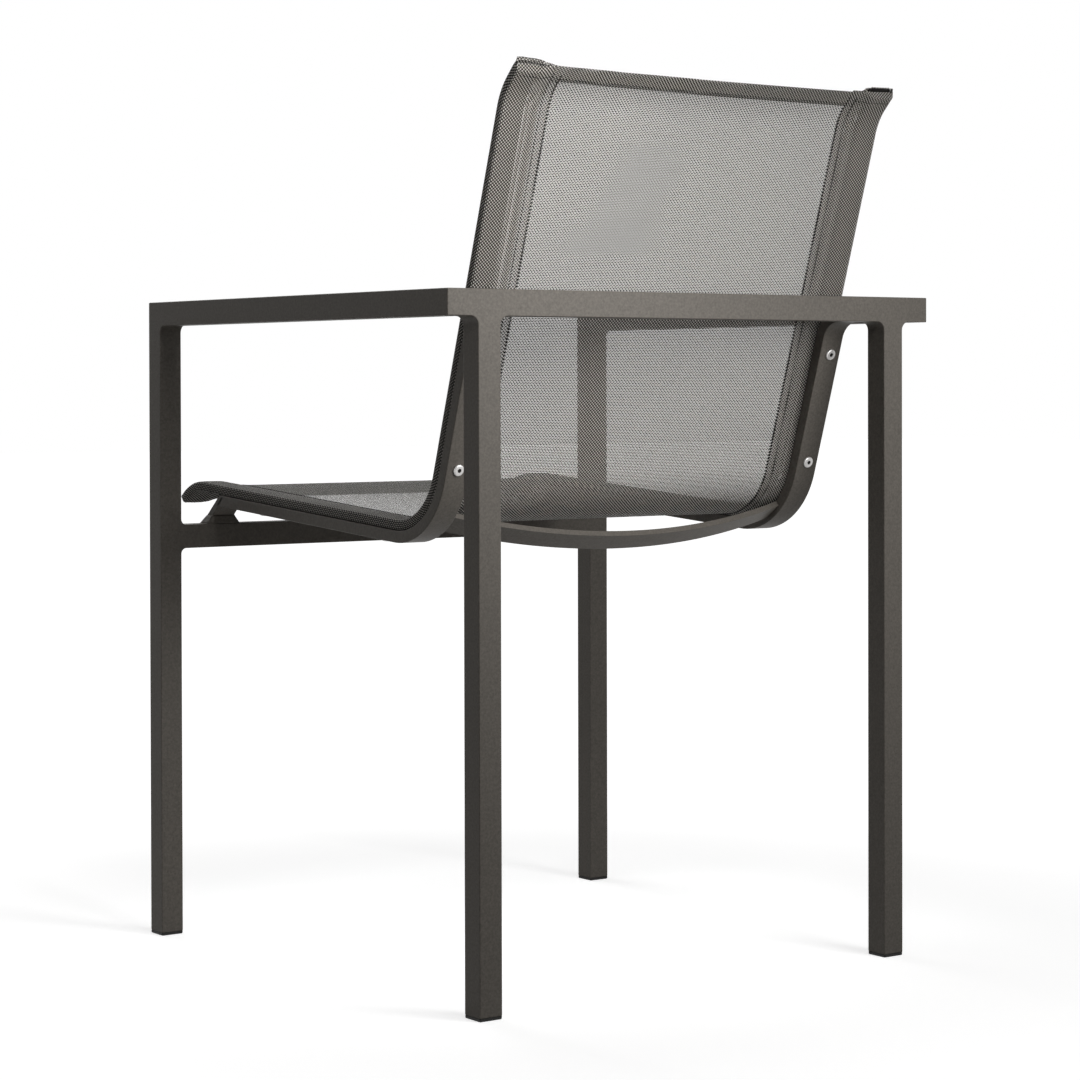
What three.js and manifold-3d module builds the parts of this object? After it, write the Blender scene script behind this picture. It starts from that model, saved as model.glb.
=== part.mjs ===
// Sling patio chair: a welded frame of square tube (U-shaped arm loop, four legs, front stretcher),
// two bent bars that carry the seat, and a mesh sling stretched between two flat rails.
// Millimetres. The floor is z = 0, the sitter faces -y and has their left hand on the +x side.

import * as THREE from 'three';
import { mergeVertices } from 'three/addons/utils/BufferGeometryUtils.js';
import Module from 'manifold-3d';

const wasm = await Module();
wasm.setup();

// Square tube of the arms, rear rail, legs and stretcher
const tubeSide = 25;
const tubeWall = 1.6;
const tubeEdge = 1;

// Arm loop and legs. The rear legs stand inside the loop's sides.
const loopWidth = 592;
const loopDepth = 565.4;
const armTop = 670;
const rearLegInset = 33.8;
const rearLegFillet = 9;
const frontLegFillet = 8;
const stretcherTop = 434.3;
const stretcherFillet = 6;

// Foot caps in the legs' lower ends
const capThickness = 3;
const capChamfer = 0.8;
const capInsertLength = 18;

// Side line of the seat: the upper face of the support bars, from the front nose to the top tip.
// The seat's rise is measured over the stretcher's front face, and the back's distance from the
// rear rail at the height of the bars' upper ends. A corner is where two straight stretches would
// meet: the front one hangs over the stretcher's front face, the top one rises above the arms.
const seatRise = 33.2;
const seatSlope = THREE.MathUtils.degToRad(4);
const backLean = THREE.MathUtils.degToRad(17.4);
const backToRail = 35.2;
const seatBendRadius = 74.2;
const waterfallOverhang = 21.1;
const waterfallFall = THREE.MathUtils.degToRad(36);
const waterfallRadius = 54;
const noseLength = 5.5;
const backRise = 177.6;
const topLean = THREE.MathUtils.degToRad(45);
const topRadius = 54;
const tipLength = 13.7;

// Support bars under the seat, welded to the rear rail and to the front struts. They stand inside
// the front legs by the clearance to the legs' inner faces.
const legToBar = 38.7;
const barWidth = 26.6;
const barThickness = 11.8;
const barWall = 1.6;
const barEdge = 1;
const barTopBendRadius = 9;

// Front struts: flat bars from the stretcher to the support bars
const strutThickness = 8;
const strutLean = THREE.MathUtils.degToRad(50);

// Cross bar between the support bars at the seat bend, bowed away from the sitter
const crossBarWidth = 25;
const crossBarThickness = 6;
const crossBarEdge = 0.8;
const crossBarBow = 29;

// Mesh fabric, its hems and the sleeves round the sling rails. Each sleeve's seam runs beside the
// support bar's inner face.
const fabricThickness = 0.7;
const sleeveTaper = 25.3;
const sleeveEdgeRadius = 2;
const seamFlap = 2.4;
const hemDepth = 17.6;
const hemStep = 0.6;
const mouthDepth = 5;
const mouthFlatShare = 0.8;
const tipMouthLean = THREE.MathUtils.degToRad(3);

// Flat rails inside the sleeves, with end plugs
const railThickness = 8.8;
const railWall = 1.4;
const railEdge = 1.2;
const railPlugFlange = 1.5;
const railPlugLength = 4;

// Button-head screws through the support bars, and the threaded inserts in the rails. The screws'
// places are shares of the bar's straight stretches, from the seat bend's two ends.
const screwHeadDiameter = 11.6;
const screwHeadHeight = 2.4;
const screwCrownShare = 0.62;
const screwShankDiameter = 6;
const screwSocketAcross = 4;
const screwSocketDepth = 1.4;
const insertDiameter = 9;
const insertEndGap = 0.8;
const upperBackScrewShare = 0.825;
const lowerBackScrewShare = 0.081;
const rearSeatScrewShare = 0.094;
const frontSeatScrewShare = 0.803;

// Gap left at every welded, seated or threaded joint, and overrun of the cutting shapes
const seam = 0.3;
const overrun = 2;

// Counts of straight steps on round stretches
const edgeSteps = 1;
const filletSteps = 5;
const bendSteps = 8;
const waterfallSteps = 5;
const topBendSteps = 4;
const bowSteps = 14;
const crownSteps = 3;
const roundSteps = 16;

const quarterTurn = Math.PI / 2;

// Derived sizes of the frame
const armUnderside = armTop - tubeSide;
const armCentreX = (loopWidth - tubeSide) / 2;
const rearFaceY = loopDepth / 2;
const frontFaceY = -loopDepth / 2;
const rearRailCentreY = rearFaceY - tubeSide / 2;
const frontLegCentreY = frontFaceY + tubeSide / 2;
const rearLegCentreX = armCentreX - rearLegInset;
const railFrontFaceY = rearFaceY - tubeSide;
const tubeBore = tubeSide - 2 * tubeWall;

const sides = [['left', 1], ['right', -1]];

const paint = { color: 0x4b4742, roughness: 0.55, metalness: 0.35 };
const mesh = { color: 0x55524d, roughness: 0.85, metalness: 0, side: THREE.DoubleSide };
const blackPlastic = { color: 0x1c1b1a, roughness: 0.6, metalness: 0 };
const bareAluminium = { color: 0xa9a9a7, roughness: 0.45, metalness: 0.9 };
const stainless = { color: 0xc9c7c2, roughness: 0.3, metalness: 1 };

const chair = new THREE.Group();

function add(name, geometry, look) {
  const piece = new THREE.Mesh(geometry, new THREE.MeshStandardMaterial(look));
  piece.name = name;
  chair.add(piece);
  return piece;
}

// The same piece on both sides of the chair, its own middle plane at +x and at -x.
function addPair(name, geometry, look, x, y = 0, z = 0) {
  for (const [side, sign] of sides) {
    add(`${name}_${side}`, geometry, look).position.set(sign * x, y, z);
  }
}

// Solids for cutting and joining

function toSolid(geometry) {
  const bare = geometry.clone();
  bare.deleteAttribute('normal');
  bare.deleteAttribute('uv');
  const merged = mergeVertices(bare);
  const corners = merged.index.array;
  const kept = [];
  for (let i = 0; i < corners.length; i += 3) {
    const [a, b, c] = corners.slice(i, i + 3);
    if (a !== b && b !== c && c !== a) kept.push(a, b, c);
  }
  return new wasm.Manifold(new wasm.Mesh({
    numProp: 3,
    vertProperties: new Float32Array(merged.attributes.position.array),
    triVerts: new Uint32Array(kept),
  }));
}

function toGeometry(solid) {
  const { vertProperties, triVerts } = solid.getMesh();
  const geometry = new THREE.BufferGeometry();
  geometry.setAttribute('position', new THREE.BufferAttribute(new Float32Array(vertProperties), 3));
  geometry.setIndex(new THREE.BufferAttribute(new Uint32Array(triVerts), 1));
  return withNormals(geometry);
}

function withNormals(geometry) {
  const flat = geometry.index ? geometry.toNonIndexed() : geometry;
  flat.computeVertexNormals();
  return flat;
}

function cutFrom(geometry, ...cutters) {
  return toGeometry(cutters.reduce((solid, cutter) => solid.subtract(toSolid(cutter)), toSolid(geometry)));
}

function boxBetween(low, high) {
  const size = new THREE.Vector3().subVectors(high, low);
  const middle = new THREE.Vector3().addVectors(low, high).multiplyScalar(1 / 2);
  return new THREE.BoxGeometry(size.x, size.y, size.z).translate(middle.x, middle.y, middle.z);
}

// Flat outlines

// The corners of a rounded rectangle as a closed loop of points, from its lower right corner.
function rectangleLoop(width, height, radius) {
  const corners = [[1, -1], [1, 1], [-1, 1], [-1, -1]];
  return corners.flatMap(([right, up], corner) => Array.from({ length: edgeSteps + 1 }, (_, i) => {
    const angle = (corner - 1 + i / edgeSteps) * quarterTurn;
    return new THREE.Vector2(
      right * (width / 2 - radius) + radius * Math.cos(angle),
      up * (height / 2 - radius) + radius * Math.sin(angle),
    );
  }));
}

// A strip with a rounded edge all round, from a flat outline and its full thickness. It is centred
// on its thickness, along z.
function roundedPlate(outline, thickness, edge, curveSegments) {
  return new THREE.ExtrudeGeometry(outline, {
    depth: thickness - 2 * edge,
    bevelEnabled: true,
    bevelThickness: edge,
    bevelSize: edge,
    bevelOffset: -edge,
    bevelSegments: edgeSteps,
    curveSegments,
  }).translate(0, 0, edge - thickness / 2);
}

// A straight length of the square tube along z, each end slanted by a slope in x and y.
function tubeBetweenCuts(length, startSlope, endSlope) {
  const outline = new THREE.Shape(rectangleLoop(tubeSide, tubeSide, tubeEdge));
  outline.holes.push(new THREE.Path(rectangleLoop(tubeBore, tubeBore, tubeEdge / 2)));
  const geometry = new THREE.ExtrudeGeometry(outline, { depth: length, bevelEnabled: false });
  const place = geometry.attributes.position;
  for (let i = 0; i < place.count; i += 1) {
    const slope = place.getZ(i) < length / 2 ? startSlope : endSlope;
    place.setZ(i, place.getZ(i) + slope.x * place.getX(i) + slope.y * place.getY(i));
  }
  return withNormals(geometry);
}

// Side lines. A station has a place in the side plane (y, z), the direction across the strip there,
// towards the sitter, and the heading along the strip, from the front to the top.

function heading(angle) {
  return new THREE.Vector2(Math.cos(angle), Math.sin(angle));
}

function leftOf(direction) {
  return new THREE.Vector2(-direction.y, direction.x);
}

function station(at, along, cut = leftOf(along)) {
  const across = cut.clone().divideScalar(cut.dot(leftOf(along)));
  return { at, along, across };
}

function pointAt({ at, across }, height) {
  return at.clone().addScaledVector(across, height);
}

// From the corner of a bend to the end of its arc.
function tangentLength(radius, from, to) {
  return radius * Math.tan(Math.abs(to - from) / 2);
}

// Stations round one corner between two headings, on the arc that touches both stretches.
function bend(corner, from, to, radius, steps) {
  const turn = to - from;
  const start = corner.clone().addScaledVector(heading(from), -tangentLength(radius, from, to));
  const centre = start.clone().addScaledVector(leftOf(heading(from)), Math.sign(turn) * radius);
  return Array.from({ length: steps + 1 }, (_, i) => {
    const along = heading(from + turn * i / steps);
    const at = centre.clone().addScaledVector(leftOf(along), -Math.sign(turn) * radius);
    return station(at, along);
  });
}

// A closed body through the stations. Each station carries its own loops of section points
// (x across the chair, y across the strip), the outline first and then the openings.
function sweep(stations) {
  const first = stations[0].loops;
  const count = first.flat().length;
  const positions = stations.flatMap((ring) => ring.loops.flat().flatMap((point) => {
    const place = pointAt(ring, point.y);
    return [point.x, place.x, place.y];
  }));
  const triangles = [];
  for (let ring = 0; ring < stations.length - 1; ring += 1) {
    let base = ring * count;
    for (const loop of first) {
      for (let i = 0; i < loop.length; i += 1) {
        const a = base + i;
        const b = base + (i + 1) % loop.length;
        triangles.push(a, b + count, b, a, a + count, b + count);
      }
      base += loop.length;
    }
  }
  const last = (stations.length - 1) * count;
  for (const [a, b, c] of THREE.ShapeUtils.triangulateShape(first[0], first.slice(1))) {
    triangles.push(a, b, c, last + c, last + b, last + a);
  }
  const geometry = new THREE.BufferGeometry();
  geometry.setAttribute('position', new THREE.Float32BufferAttribute(positions, 3));
  geometry.setIndex(triangles);
  return withNormals(geometry);
}

// The seat's side line

const seatHeading = -seatSlope;
const backHeading = quarterTurn - backLean;
const tipHeading = quarterTurn - topLean;

function onSeat(y) {
  return new THREE.Vector2(y, stretcherTop + seatRise + (y - frontFaceY) * Math.tan(seatHeading));
}

function onBack(height) {
  const barEnd = armUnderside + barThickness;
  return new THREE.Vector2(railFrontFaceY - backToRail + (height - barEnd) / Math.tan(backHeading), height);
}

// Where the seat's line and the back's line would meet.
function meetingPoint() {
  const across = leftOf(heading(seatHeading));
  const onTheBack = onBack(armUnderside);
  const reach = onSeat(frontFaceY).sub(onTheBack).dot(across) / heading(backHeading).dot(across);
  return onTheBack.addScaledVector(heading(backHeading), reach);
}

const seatCorner = meetingPoint();
const waterfallCorner = onSeat(frontFaceY - waterfallOverhang);
const tipCorner = onBack(armTop + backRise);
const seatBend = bend(seatCorner, seatHeading, backHeading, seatBendRadius, bendSteps);

// The whole line of the sling, each station with its run: its distance from the front end.
function slingLine() {
  const noseReach = noseLength + tangentLength(waterfallRadius, waterfallFall, seatHeading);
  const tipReach = tipLength + tangentLength(topRadius, backHeading, tipHeading);
  const nose = waterfallCorner.clone().addScaledVector(heading(waterfallFall), -noseReach);
  const tip = tipCorner.clone().addScaledVector(heading(tipHeading), tipReach);
  const line = [
    station(nose, heading(waterfallFall)),
    ...bend(waterfallCorner, waterfallFall, seatHeading, waterfallRadius, waterfallSteps),
    ...seatBend,
    ...bend(tipCorner, backHeading, tipHeading, topRadius, topBendSteps),
    station(tip, heading(tipHeading)),
  ];
  line[0].run = 0;
  for (let i = 1; i < line.length; i += 1) {
    line[i].run = line[i - 1].run + line[i].at.distanceTo(line[i - 1].at);
  }
  return line;
}

const fullLine = slingLine();
const fullRun = fullLine.at(-1).run;

function stationAt(run) {
  const next = Math.max(1, fullLine.findIndex((ring) => ring.run >= run));
  const before = fullLine[next - 1];
  const after = fullLine[next];
  const share = (run - before.run) / (after.run - before.run);
  const along = before.along.clone().lerp(after.along, share).normalize();
  return { ...station(before.at.clone().lerp(after.at, share), along), run };
}

// Stations at the given runs, and the line's own ones between the first and the last of them.
function stationsAt(...runs) {
  const kept = fullLine.filter(({ run }) => run > Math.min(...runs) && run < Math.max(...runs)
    && runs.every((other) => Math.abs(run - other) > seam));
  return [...kept, ...runs.map(stationAt)].sort((a, b) => a.run - b.run);
}

// The line of the rails, which end short of the fabric at both ends, inside the end plugs' flanges.
// Each end is straight along its plug, and cut square.
function railLine() {
  const end = mouthDepth + railPlugFlange;
  const straight = end + railPlugLength + seam;
  const line = stationsAt(straight, fullRun - straight);
  const [front, top] = [end, fullRun - end].map((run) => stationAt(run).at);
  const toInner = (inner, outer) => inner.at.clone().sub(outer).normalize();
  return [
    station(front, toInner(line[0], front)),
    ...line,
    station(top, toInner(line.at(-1), top).negate()),
  ];
}

// Arms, rear rail and legs

function addArmLoop() {
  const alongX = new THREE.Vector2(1, 0);
  const alongY = new THREE.Vector2(0, 1);
  const height = armTop - tubeSide / 2;
  const armLength = loopDepth - tubeSide - seam;
  for (const [side, sign] of sides) {
    const rearSlope = alongX.clone().multiplyScalar(-sign);
    const arm = add(`arm_${side}`, tubeBetweenCuts(armLength, rearSlope, alongY), paint);
    arm.rotation.x = quarterTurn;
    arm.position.set(sign * armCentreX, rearRailCentreY - seam / 2, height);
  }
  const railLength = loopWidth - tubeSide - seam;
  const rail = add('rear_rail', tubeBetweenCuts(railLength, alongX.clone().negate(), alongX), paint);
  rail.rotation.set(quarterTurn, quarterTurn, 0);
  rail.position.set(-railLength / 2, rearRailCentreY, height);
}

// The bore of a leg: a square hole from below its lower end to above its upper end.
function legBore(bottom, top) {
  const bore = new THREE.Shape(rectangleLoop(tubeBore, tubeBore, tubeEdge / 2));
  return new THREE.ExtrudeGeometry(bore, { depth: top - bottom + 2 * overrun, bevelEnabled: false })
    .translate(0, 0, bottom - overrun);
}

function slab(bottom, top) {
  return boxBetween(
    new THREE.Vector3(-loopWidth, -loopDepth, bottom),
    new THREE.Vector3(loopWidth, loopDepth, top),
  );
}

// Outline in the rear view: a post that widens in a fillet on both sides under the rail.
function rearLegOutline() {
  const half = tubeSide / 2;
  const filletFoot = armUnderside - rearLegFillet;
  const outline = new THREE.Shape();
  outline.moveTo(-half, capThickness - overrun);
  outline.lineTo(half, capThickness - overrun);
  outline.lineTo(half, filletFoot);
  outline.absarc(half + rearLegFillet, filletFoot, rearLegFillet, Math.PI, quarterTurn, true);
  outline.lineTo(half + rearLegFillet, armUnderside + overrun);
  outline.lineTo(-half - rearLegFillet, armUnderside + overrun);
  outline.lineTo(-half - rearLegFillet, armUnderside);
  outline.absarc(-half - rearLegFillet, filletFoot, rearLegFillet, quarterTurn, 0, true);
  return outline;
}

function addRearLegs() {
  const post = roundedPlate(rearLegOutline(), tubeSide, tubeEdge, filletSteps).rotateX(quarterTurn);
  const leg = cutFrom(
    post,
    slab(-overrun, capThickness),
    slab(armUnderside, armTop),
    legBore(capThickness, armUnderside),
  );
  addPair('rear_leg', leg, paint, rearLegCentreX, rearRailCentreY);
}

// Outline in the side view: a post mitred to the arm at its top, with a fillet on its rear side.
// The outline's x is the chair's y, measured from the leg's middle.
function frontLegOutline() {
  const half = tubeSide / 2;
  const filletFoot = armUnderside - frontLegFillet;
  const outline = new THREE.Shape();
  outline.moveTo(-half, capThickness - overrun);
  outline.lineTo(half, capThickness - overrun);
  outline.lineTo(half, filletFoot);
  outline.absarc(half + frontLegFillet, filletFoot, frontLegFillet, Math.PI, quarterTurn, true);
  outline.lineTo(half + frontLegFillet, armTop);
  outline.lineTo(-half, armTop);
  return outline;
}

function addFrontLegs() {
  const half = tubeSide / 2;
  const upright = roundedPlate(frontLegOutline(), tubeSide, tubeEdge, filletSteps)
    .rotateX(quarterTurn).rotateZ(quarterTurn);
  const beyondMitre = new THREE.Shape([
    new THREE.Vector2(-half - overrun, armTop + overrun - seam),
    new THREE.Vector2(half, armUnderside - seam),
    new THREE.Vector2(half + frontLegFillet + overrun, armUnderside - seam),
    new THREE.Vector2(half + frontLegFillet + overrun, armTop + overrun),
  ]);
  const mitreCutter = new THREE.ExtrudeGeometry(beyondMitre, { depth: 2 * tubeSide, bevelEnabled: false })
    .translate(0, 0, -tubeSide).rotateX(quarterTurn).rotateZ(quarterTurn);
  const leg = cutFrom(upright, slab(-overrun, capThickness), mitreCutter, legBore(capThickness, armTop));
  addPair('front_leg', leg, paint, armCentreX, frontLegCentreY);
}

// Outline in the front view: a bar that widens in fillets above and below at both legs.
function stretcherOutline(halfLength) {
  const half = tubeSide / 2;
  const fillet = stretcherFillet;
  const outline = new THREE.Shape();
  outline.moveTo(fillet - halfLength, -half);
  for (const side of [1, -1]) {
    const from = side * quarterTurn;
    const centreX = side * (halfLength - fillet);
    outline.lineTo(centreX, side * -half);
    outline.absarc(centreX, side * (-half - fillet), fillet, from, from - quarterTurn, true);
    outline.lineTo(side * (halfLength + overrun), side * (-half - fillet));
    outline.lineTo(side * (halfLength + overrun), side * (half + fillet));
    outline.lineTo(side * halfLength, side * (half + fillet));
    outline.absarc(centreX, side * (half + fillet), fillet, from - quarterTurn, -from, true);
  }
  return outline;
}

function addStretcher() {
  const halfLength = armCentreX - tubeSide / 2 - seam;
  const reach = halfLength + 2 * overrun;
  const plate = roundedPlate(stretcherOutline(halfLength), tubeSide, tubeEdge, filletSteps)
    .rotateX(quarterTurn);
  const bore = new THREE.BoxGeometry(2 * reach, tubeBore, tubeBore);
  const ends = [1, -1].map((side) => new THREE.BoxGeometry(2 * overrun, 2 * tubeSide, 4 * tubeSide)
    .translate(side * (halfLength + overrun), 0, 0));
  const stretcher = add('front_stretcher', cutFrom(plate, bore, ...ends), paint);
  stretcher.position.set(0, frontLegCentreY, stretcherTop - tubeSide / 2);
}

function addFootCaps() {
  const insertSide = tubeBore - 2 * seam;
  const flange = roundedPlate(
    new THREE.Shape(rectangleLoop(tubeSide, tubeSide, tubeEdge)), 2 * capThickness, capChamfer, edgeSteps,
  ).translate(0, 0, capThickness);
  const flangeTop = boxBetween(
    new THREE.Vector3(-tubeSide, -tubeSide, capThickness),
    new THREE.Vector3(tubeSide, tubeSide, 3 * capThickness),
  );
  const insert = boxBetween(
    new THREE.Vector3(-insertSide / 2, -insertSide / 2, capThickness / 2),
    new THREE.Vector3(insertSide / 2, insertSide / 2, capThickness + capInsertLength),
  );
  const cap = toGeometry(toSolid(flange).subtract(toSolid(flangeTop)).add(toSolid(insert)));
  addPair('front_foot_cap', cap, blackPlastic, armCentreX, frontLegCentreY);
  addPair('rear_foot_cap', cap, blackPlastic, rearLegCentreX, rearRailCentreY);
}

// Support bars, struts and cross bar

const barX = armCentreX - tubeSide / 2 - legToBar - barWidth / 2;
const strutHeading = quarterTurn - strutLean;

// The line of the strut's front face: from the stretcher's front edge to the seat line.
function strutFront() {
  const foot = new THREE.Vector2(frontFaceY, stretcherTop + seam);
  const up = heading(strutHeading);
  const across = leftOf(heading(seatHeading));
  const reach = seatCorner.clone().sub(foot).dot(across) / up.dot(across);
  return { foot, head: foot.clone().addScaledVector(up, reach) };
}

// The bar's side line, from the strut's rear face to the rear rail's front face.
function barLine() {
  const strutAcross = strutThickness / Math.sin(strutHeading - seatHeading);
  const front = strutFront().head.addScaledVector(heading(seatHeading), strutAcross + seam);
  const topCorner = onBack(armUnderside + barThickness);
  const end = new THREE.Vector2(railFrontFaceY - seam, topCorner.y);
  return [
    station(front, heading(seatHeading), heading(strutHeading)),
    ...seatBend,
    ...bend(topCorner, backHeading, 0, barTopBendRadius + barThickness, filletSteps),
    station(end, heading(0)),
  ];
}

// Screws: four on each side, at stations of the bar's side line.
function screwPlaces() {
  const [front, bendFront, bendTop, back] = [0, 1, bendSteps + 1, bendSteps + 2].map((i) => barLine()[i].at);
  const onBackAt = (share) => station(bendTop.clone().lerp(back, share), heading(backHeading));
  const onSeatAt = (share) => station(bendFront.clone().lerp(front, share), heading(seatHeading));
  return {
    upper_back: onBackAt(upperBackScrewShare),
    lower_back: onBackAt(lowerBackScrewShare),
    rear_seat: onSeatAt(rearSeatScrewShare),
    front_seat: onSeatAt(frontSeatScrewShare),
  };
}

const screwStations = screwPlaces();

// A piece made along its own y axis, turned to stand across the strip at a station.
function turnAcross(geometry, { at, across }) {
  return geometry.rotateX(Math.atan2(across.y, across.x)).translate(0, at.x, at.y);
}

// A round cutter across the strip, from one height above the seat line to another.
function screwCutter(diameter, low, high, place) {
  const cutter = new THREE.CylinderGeometry(diameter / 2, diameter / 2, high - low, roundSteps);
  return turnAcross(cutter.translate(0, (low + high) / 2, 0), place);
}

function addSupportBars() {
  const loops = [
    rectangleLoop(barWidth, barThickness, barEdge),
    rectangleLoop(barWidth - 2 * barWall, barThickness - 2 * barWall, barEdge / 2).reverse(),
  ].map((loop) => loop.map((point) => point.setY(point.y - barThickness / 2)));
  const line = barLine().map((ring) => ({ ...ring, loops }));
  const holes = Object.values(screwStations).map((place) => screwCutter(
    screwShankDiameter + 2 * seam, -barThickness - overrun, overrun, place,
  ));
  addPair('support_bar', cutFrom(sweep(line), ...holes), paint, barX);
}

function addFrontStruts() {
  const loops = [rectangleLoop(barWidth, strutThickness, barEdge)]
    .map((loop) => loop.map((point) => point.setY(point.y - strutThickness / 2)));
  const { foot, head } = strutFront();
  const up = heading(strutHeading);
  const line = [
    station(foot, up, heading(Math.PI)),
    station(head, up, heading(seatHeading + Math.PI)),
  ].map((ring) => ({ ...ring, loops }));
  addPair('front_strut', sweep(line), paint, barX);
}

// The cross bar's band lies between two arcs about one centre. Its ends stop at the bars' sides.
function addCrossBar() {
  const half = barX - barWidth / 2 - seam;
  const innerRadius = (half * half + crossBarBow * crossBarBow) / (2 * crossBarBow);
  const depth = crossBarThickness + innerRadius - crossBarBow;
  const drop = (radius, x) => depth - Math.sqrt(radius * radius - x * x);
  const places = Array.from({ length: bowSteps + 1 }, (_, i) => half * (2 * i / bowSteps - 1));
  const outerRadius = innerRadius + crossBarThickness;
  const outline = new THREE.Shape([
    ...places.map((x) => new THREE.Vector2(x, drop(outerRadius, x))),
    ...places.reverse().map((x) => new THREE.Vector2(x, drop(innerRadius, x))),
  ]);
  const bisector = leftOf(heading((seatHeading + backHeading) / 2));
  const cornerToArc = seatBendRadius / Math.cos((backHeading - seatHeading) / 2) - seatBendRadius;
  const middle = seatCorner.clone().addScaledVector(bisector, cornerToArc - crossBarThickness);
  const bar = add('cross_bar', roundedPlate(outline, crossBarWidth, crossBarEdge, bowSteps), paint);
  bar.rotation.x = Math.atan2(bisector.y, bisector.x);
  bar.position.set(0, middle.x, middle.y);
}

// Sling, rails, plugs, screws and inserts. Heights across the strip are measured from the seat line.

const sleeveLow = seam;
const sleeveHigh = sleeveLow + 2 * fabricThickness + 2 * seam + railThickness;
const sleeveMiddle = (sleeveLow + sleeveHigh) / 2;
const sleeveSeamX = barX - barWidth / 2 - sleeveTaper;
const sleeveOuter = barX + barWidth / 2;
const railOuter = sleeveOuter - fabricThickness - seam;
const railInner = barX - barWidth / 2 + fabricThickness + seam;
const railLow = sleeveLow + fabricThickness + seam;
const railWidth = railOuter - railInner;
const railCentreX = (railOuter + railInner) / 2;
const insertLength = railThickness - railWall - insertEndGap;

// One sleeve's part of the outline on the +x side, from the membrane's lower face to its upper face.
function sleeveOutline(membraneHalf) {
  const flapHalf = membraneHalf + fabricThickness / 2;
  const corner = sleeveEdgeRadius;
  const lowArc = new THREE.Path().absarc(sleeveOuter - corner, sleeveLow + corner, corner, -quarterTurn, 0);
  const highArc = new THREE.Path().absarc(sleeveOuter - corner, sleeveHigh - corner, corner, 0, quarterTurn);
  return [
    new THREE.Vector2(sleeveSeamX - seamFlap, sleeveMiddle - membraneHalf),
    new THREE.Vector2(sleeveSeamX, sleeveMiddle - flapHalf),
    new THREE.Vector2(railInner, sleeveLow),
    ...lowArc.getPoints(edgeSteps),
    ...highArc.getPoints(edgeSteps),
    new THREE.Vector2(railInner, sleeveHigh),
    new THREE.Vector2(sleeveSeamX, sleeveMiddle + flapHalf),
    new THREE.Vector2(sleeveSeamX - seamFlap, sleeveMiddle + membraneHalf),
  ];
}

// The pocket round the rail, pointed at the seam.
function pocketOutline() {
  const high = railLow + railThickness + seam;
  const low = railLow - seam;
  const outer = railOuter + seam;
  return [
    new THREE.Vector2(sleeveSeamX + 2 * seamFlap, sleeveMiddle),
    new THREE.Vector2(railInner - seam, high),
    new THREE.Vector2(outer - railEdge, high),
    new THREE.Vector2(outer, high - railEdge),
    new THREE.Vector2(outer, low + railEdge),
    new THREE.Vector2(outer - railEdge, low),
    new THREE.Vector2(railInner - seam, low),
  ];
}

function mirrored(points) {
  return points.map((point) => new THREE.Vector2(-point.x, point.y)).reverse();
}

// The whole section, with the membrane's thickness and the sleeves' height as they are there.
function slingLoops(membraneHalf, heightShare) {
  const right = sleeveOutline(membraneHalf);
  const pocket = pocketOutline();
  return [[...right, ...mirrored(right)], pocket, mirrored(pocket)].map((loop) => loop.map(
    (point) => new THREE.Vector2(point.x, sleeveMiddle + heightShare * (point.y - sleeveMiddle)),
  ));
}

function addSling() {
  const plain = slingLoops(fabricThickness / 2, 1);
  const hem = slingLoops(fabricThickness, 1);
  const mouth = slingLoops(fabricThickness, mouthFlatShare);
  const hemRuns = [0, mouthDepth, hemDepth - hemStep, hemDepth];
  const line = stationsAt(...hemRuns, ...hemRuns.map((run) => fullRun - run)).map((ring) => {
    const depth = Math.min(ring.run, fullRun - ring.run);
    if (depth < mouthDepth / 2) return { ...ring, loops: mouth };
    return { ...ring, loops: depth < hemDepth - hemStep / 2 ? hem : plain };
  });
  const tip = line.at(-1);
  tip.across = station(tip.at, tip.along, heading(quarterTurn + tipMouthLean)).across;
  const holes = Object.values(screwStations).flatMap((place) => [barX, -barX].map(
    (x) => screwCutter(insertDiameter, -overrun, railLow, place).translate(x, 0, 0),
  ));
  add('sling', cutFrom(sweep(line), ...holes), mesh);
}

function addSlingRails() {
  const loops = [
    rectangleLoop(railWidth, railThickness, railEdge),
    rectangleLoop(railWidth - 2 * railWall, railThickness - 2 * railWall, railEdge / 2).reverse(),
  ].map((loop) => loop.map((point) => point.setY(point.y + railLow + railThickness / 2)));
  const line = railLine().map((ring) => ({ ...ring, loops }));
  const holes = Object.values(screwStations).map((place) => screwCutter(
    insertDiameter + 2 * seam, 0, railLow + railWall + overrun, place,
  ));
  addPair('sling_rail', cutFrom(sweep(line), ...holes), bareAluminium, railCentreX);
}

// A plug is made along z with its flange's inner face at z = 0, and the rail's thickness along y.
function addRailPlugs() {
  const insertWidth = railWidth - 2 * railWall - 2 * seam;
  const insertThickness = railThickness - 2 * railWall - 2 * seam;
  const flange = new THREE.ExtrudeGeometry(
    new THREE.Shape(rectangleLoop(railWidth, railThickness, railEdge)),
    { depth: railPlugFlange, bevelEnabled: false },
  );
  const insert = new THREE.BoxGeometry(insertWidth, insertThickness, railPlugLength + railPlugFlange)
    .translate(0, 0, (railPlugFlange - railPlugLength) / 2);
  const plug = toGeometry(toSolid(flange).add(toSolid(insert)));
  const line = railLine();
  for (const [name, ring, sign] of [['front', line[0], -1], ['top', line.at(-1), 1]]) {
    const outward = ring.along.clone().multiplyScalar(sign);
    const middle = pointAt(ring, railLow + railThickness / 2).addScaledVector(outward, seam);
    const turned = plug.clone().rotateX(Math.atan2(-outward.x, outward.y));
    addPair(`${name}_rail_plug`, turned, blackPlastic, railCentreX, middle.x, middle.y);
  }
}

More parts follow.
